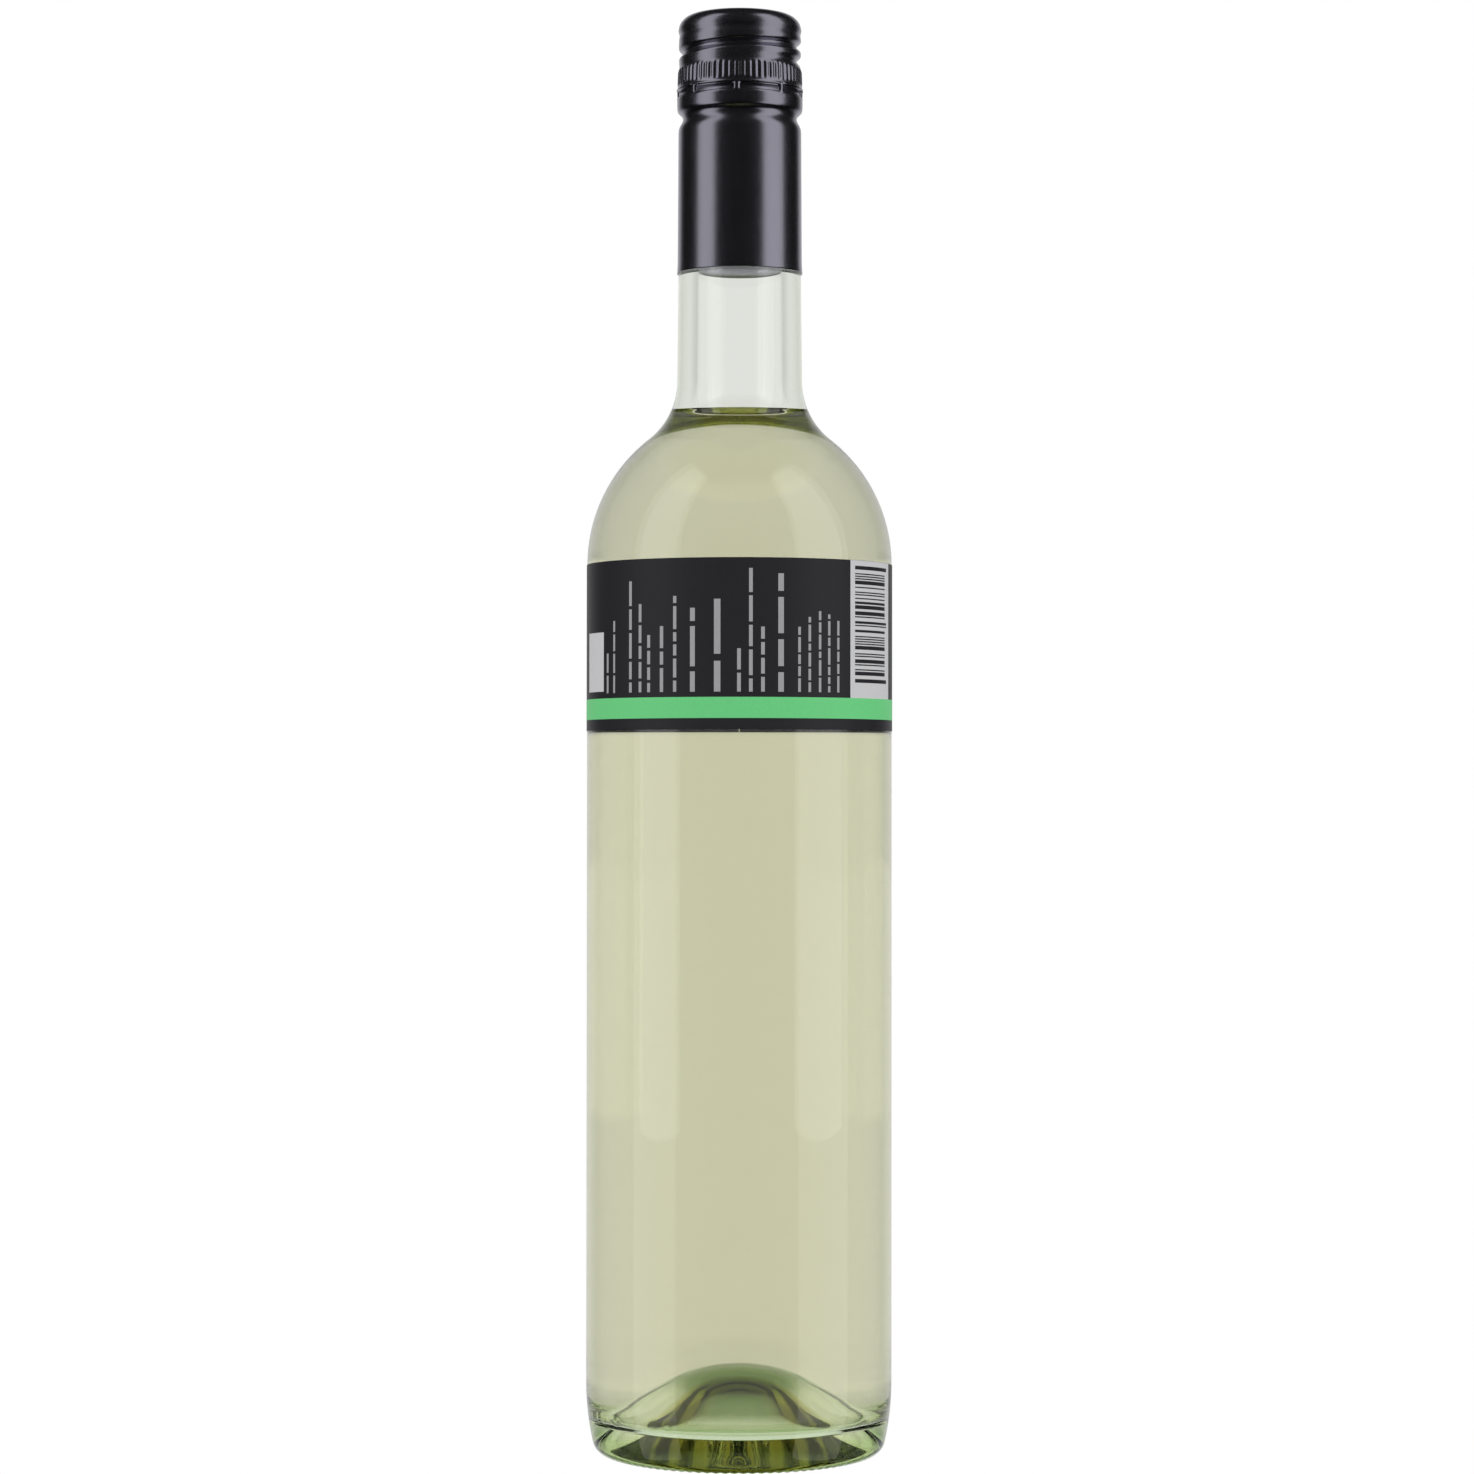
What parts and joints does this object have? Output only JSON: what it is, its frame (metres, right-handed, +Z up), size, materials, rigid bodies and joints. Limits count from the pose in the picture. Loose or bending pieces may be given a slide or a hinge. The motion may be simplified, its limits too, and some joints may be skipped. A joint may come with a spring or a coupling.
{
  "type": "wine bottle",
  "caption": "Filled wine bottle of clear glass with rounded shoulders, a raised base, a long metal screw cap and a dark wrap-round label.",
  "frame": {"origin": "on the bottle's axis, in the plane that it stands on", "axes": "+Z up along the bottle's axis, -Y towards the middle of the label's front, +X to the right of someone who faces it"},
  "size_m": [0.0728, 0.0728, 0.3422],
  "materials": {
    "glass": "clear, smooth, faintly green where it is thick",
    "wine": "clear pale yellow-green liquid",
    "cap_metal": "satin black lacquer",
    "label_paper": "semi-matt printed paper, near black with a green stripe"
  },
  "bodies": {
    "root": {"glass_bottle": "glass", "wine": "wine", "screw_cap": "cap_metal", "label": "label_paper"}
  },
  "joints": []
}
